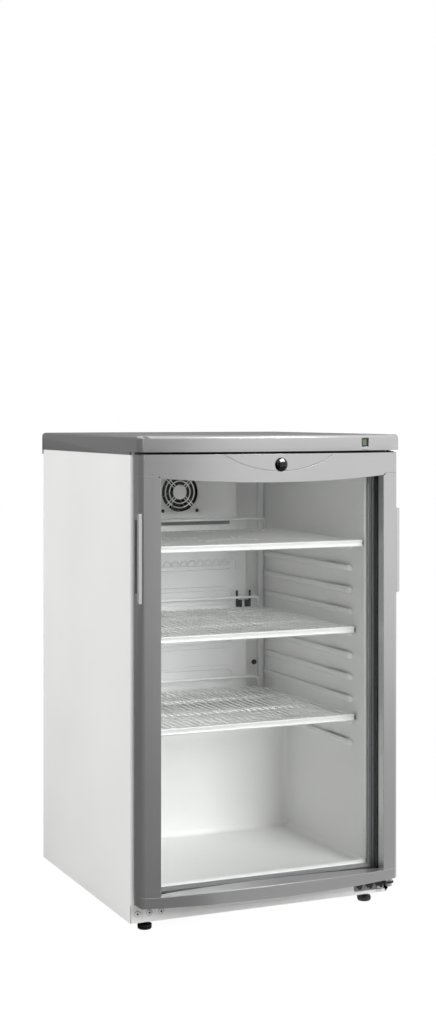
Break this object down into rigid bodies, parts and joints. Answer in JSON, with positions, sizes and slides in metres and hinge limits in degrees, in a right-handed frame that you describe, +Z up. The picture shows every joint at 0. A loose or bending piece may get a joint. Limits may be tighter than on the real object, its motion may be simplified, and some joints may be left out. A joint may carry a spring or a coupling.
{
  "type": "under-counter bottle cooler",
  "caption": "Under-counter bottle cooler with a bowed glazed door, wire shelves, fan grille, lockable top rail, levelling feet and a rear machine bay.",
  "frame": {"origin": "on the floor, under the middle of the bounding box", "axes": "+Z up, -Y out of the door, hinges on the +X side"},
  "size_m": [0.498, 0.55, 0.84],
  "materials": {
    "white_paint": "white powder coat, semi-gloss",
    "zinc_sheet": "galvanised sheet",
    "silver_plastic": "silver-grey moulded plastic, satin",
    "light_plastic": "light grey moulded plastic",
    "liner_plastic": "white vacuum-formed sheet",
    "foam": "rigid foam",
    "black_plastic": "black moulded plastic",
    "display": "dark window with a green glow",
    "black_steel": "black painted steel",
    "bright_steel": "bright steel",
    "lock_chrome": "polished",
    "glass": "clear float glass",
    "gasket_rubber": "dark grey flexible profile",
    "spacer": "black anodised",
    "inner_frame": "mid-grey plastic",
    "shelf_wire": "white dip coating on wire",
    "shelf_trim": "white strip",
    "evaporator": "roll-bonded aluminium",
    "compressor_paint": "black enamel",
    "mount_rubber": "black rubber",
    "copper": "copper"
  },
  "bodies": {
    "cabinet": {"left_side_panel": "white_paint", "right_side_panel": "white_paint", "base_plate": "zinc_sheet", "rear_panel": "zinc_sheet", "inner_liner": "liner_plastic", "foam_insulation": "foam", "kick_plate": "white_paint", "top_lid": "silver_plastic", "display_bezel": "black_plastic", "display_window": "display", "controller_box": "black_plastic", "fan_cover": "liner_plastic", "fan_frame": "black_plastic", "evaporator_plate": "evaporator", "evaporator_clips": "black_plastic", "wall_probe": "black_plastic", "lower_hinge_bracket": "black_steel", "upper_hinge_bracket": "black_steel", "hinge_pins": "bright_steel", "lock_strike": "bright_steel", "compressor": "compressor_paint", "compressor_mounts": "mount_rubber", "compressor_terminal_cover": "black_plastic", "drip_tray": "black_plastic", "drain_tube": "liner_plastic", "condenser": "black_steel", "condenser_brackets": "black_plastic", "filter_drier": "copper", "refrigerant_lines": "copper", "mains_gland": "black_plastic", "panel_screws": "white_paint"},
    "door": {"door_top_rail": "silver_plastic", "door_bottom_rail": "silver_plastic", "door_left_stile": "silver_plastic", "door_right_stile": "silver_plastic", "lock_panel": "silver_plastic", "left_handle": "light_plastic", "right_handle": "light_plastic", "outer_glass": "glass", "inner_glass": "glass", "glass_spacer": "spacer", "door_inner_frame": "inner_frame", "door_gasket": "gasket_rubber", "hinge_bushes": "black_plastic"},
    "lock": {"lock_cylinder": "lock_chrome", "lock_cam": "bright_steel"},
    "fan": {"fan_impeller": "black_plastic"},
    "shelf_1": {"shelf_1_grid": "shelf_wire", "shelf_1_front_trim": "shelf_trim", "shelf_1_back_stop": "shelf_wire"},
    "shelf_2": {"shelf_2_grid": "shelf_wire", "shelf_2_front_trim": "shelf_trim", "shelf_2_back_stop": "shelf_wire"},
    "shelf_3": {"shelf_3_grid": "shelf_wire", "shelf_3_front_trim": "shelf_trim", "shelf_3_back_stop": "shelf_wire"},
    "front_left_foot": {"front_left_foot": "black_plastic"},
    "front_right_foot": {"front_right_foot": "black_plastic"},
    "rear_left_foot": {"rear_left_foot": "black_plastic"},
    "rear_right_foot": {"rear_right_foot": "black_plastic"}
  },
  "joints": [
    {"name": "door_swing", "type": "hinge", "parent": "cabinet", "child": "door", "pos_m": [0.2355, -0.225, 0.43], "axis": [0, 0, 1], "range_deg": [0, 110]},
    {"name": "lock_turn", "type": "hinge", "parent": "door", "child": "lock", "pos_m": [0, -0.26, 0.79], "axis": [0, -1, 0], "range_deg": [0, 90]},
    {"name": "fan_spin", "type": "hinge", "parent": "cabinet", "child": "fan", "pos_m": [0, 0.19, 0.724], "axis": [0, -1, 0], "continuous": true},
    {"name": "shelf_1_slide", "type": "slide", "parent": "cabinet", "child": "shelf_1", "axis": [0, -1, 0], "range_m": [0, 0.008]},
    {"name": "shelf_2_slide", "type": "slide", "parent": "cabinet", "child": "shelf_2", "axis": [0, -1, 0], "range_m": [0, 0.036]},
    {"name": "shelf_3_slide", "type": "slide", "parent": "cabinet", "child": "shelf_3", "axis": [0, -1, 0], "range_m": [0, 0.036]},
    {"name": "front_left_foot_height", "type": "slide", "parent": "cabinet", "child": "front_left_foot", "axis": [0, 0, -1], "range_m": [0, 0.012]},
    {"name": "front_right_foot_height", "type": "slide", "parent": "cabinet", "child": "front_right_foot", "axis": [0, 0, -1], "range_m": [0, 0.012]},
    {"name": "rear_left_foot_height", "type": "slide", "parent": "cabinet", "child": "rear_left_foot", "axis": [0, 0, -1], "range_m": [0, 0.012]},
    {"name": "rear_right_foot_height", "type": "slide", "parent": "cabinet", "child": "rear_right_foot", "axis": [0, 0, -1], "range_m": [0, 0.012]}
  ]
}
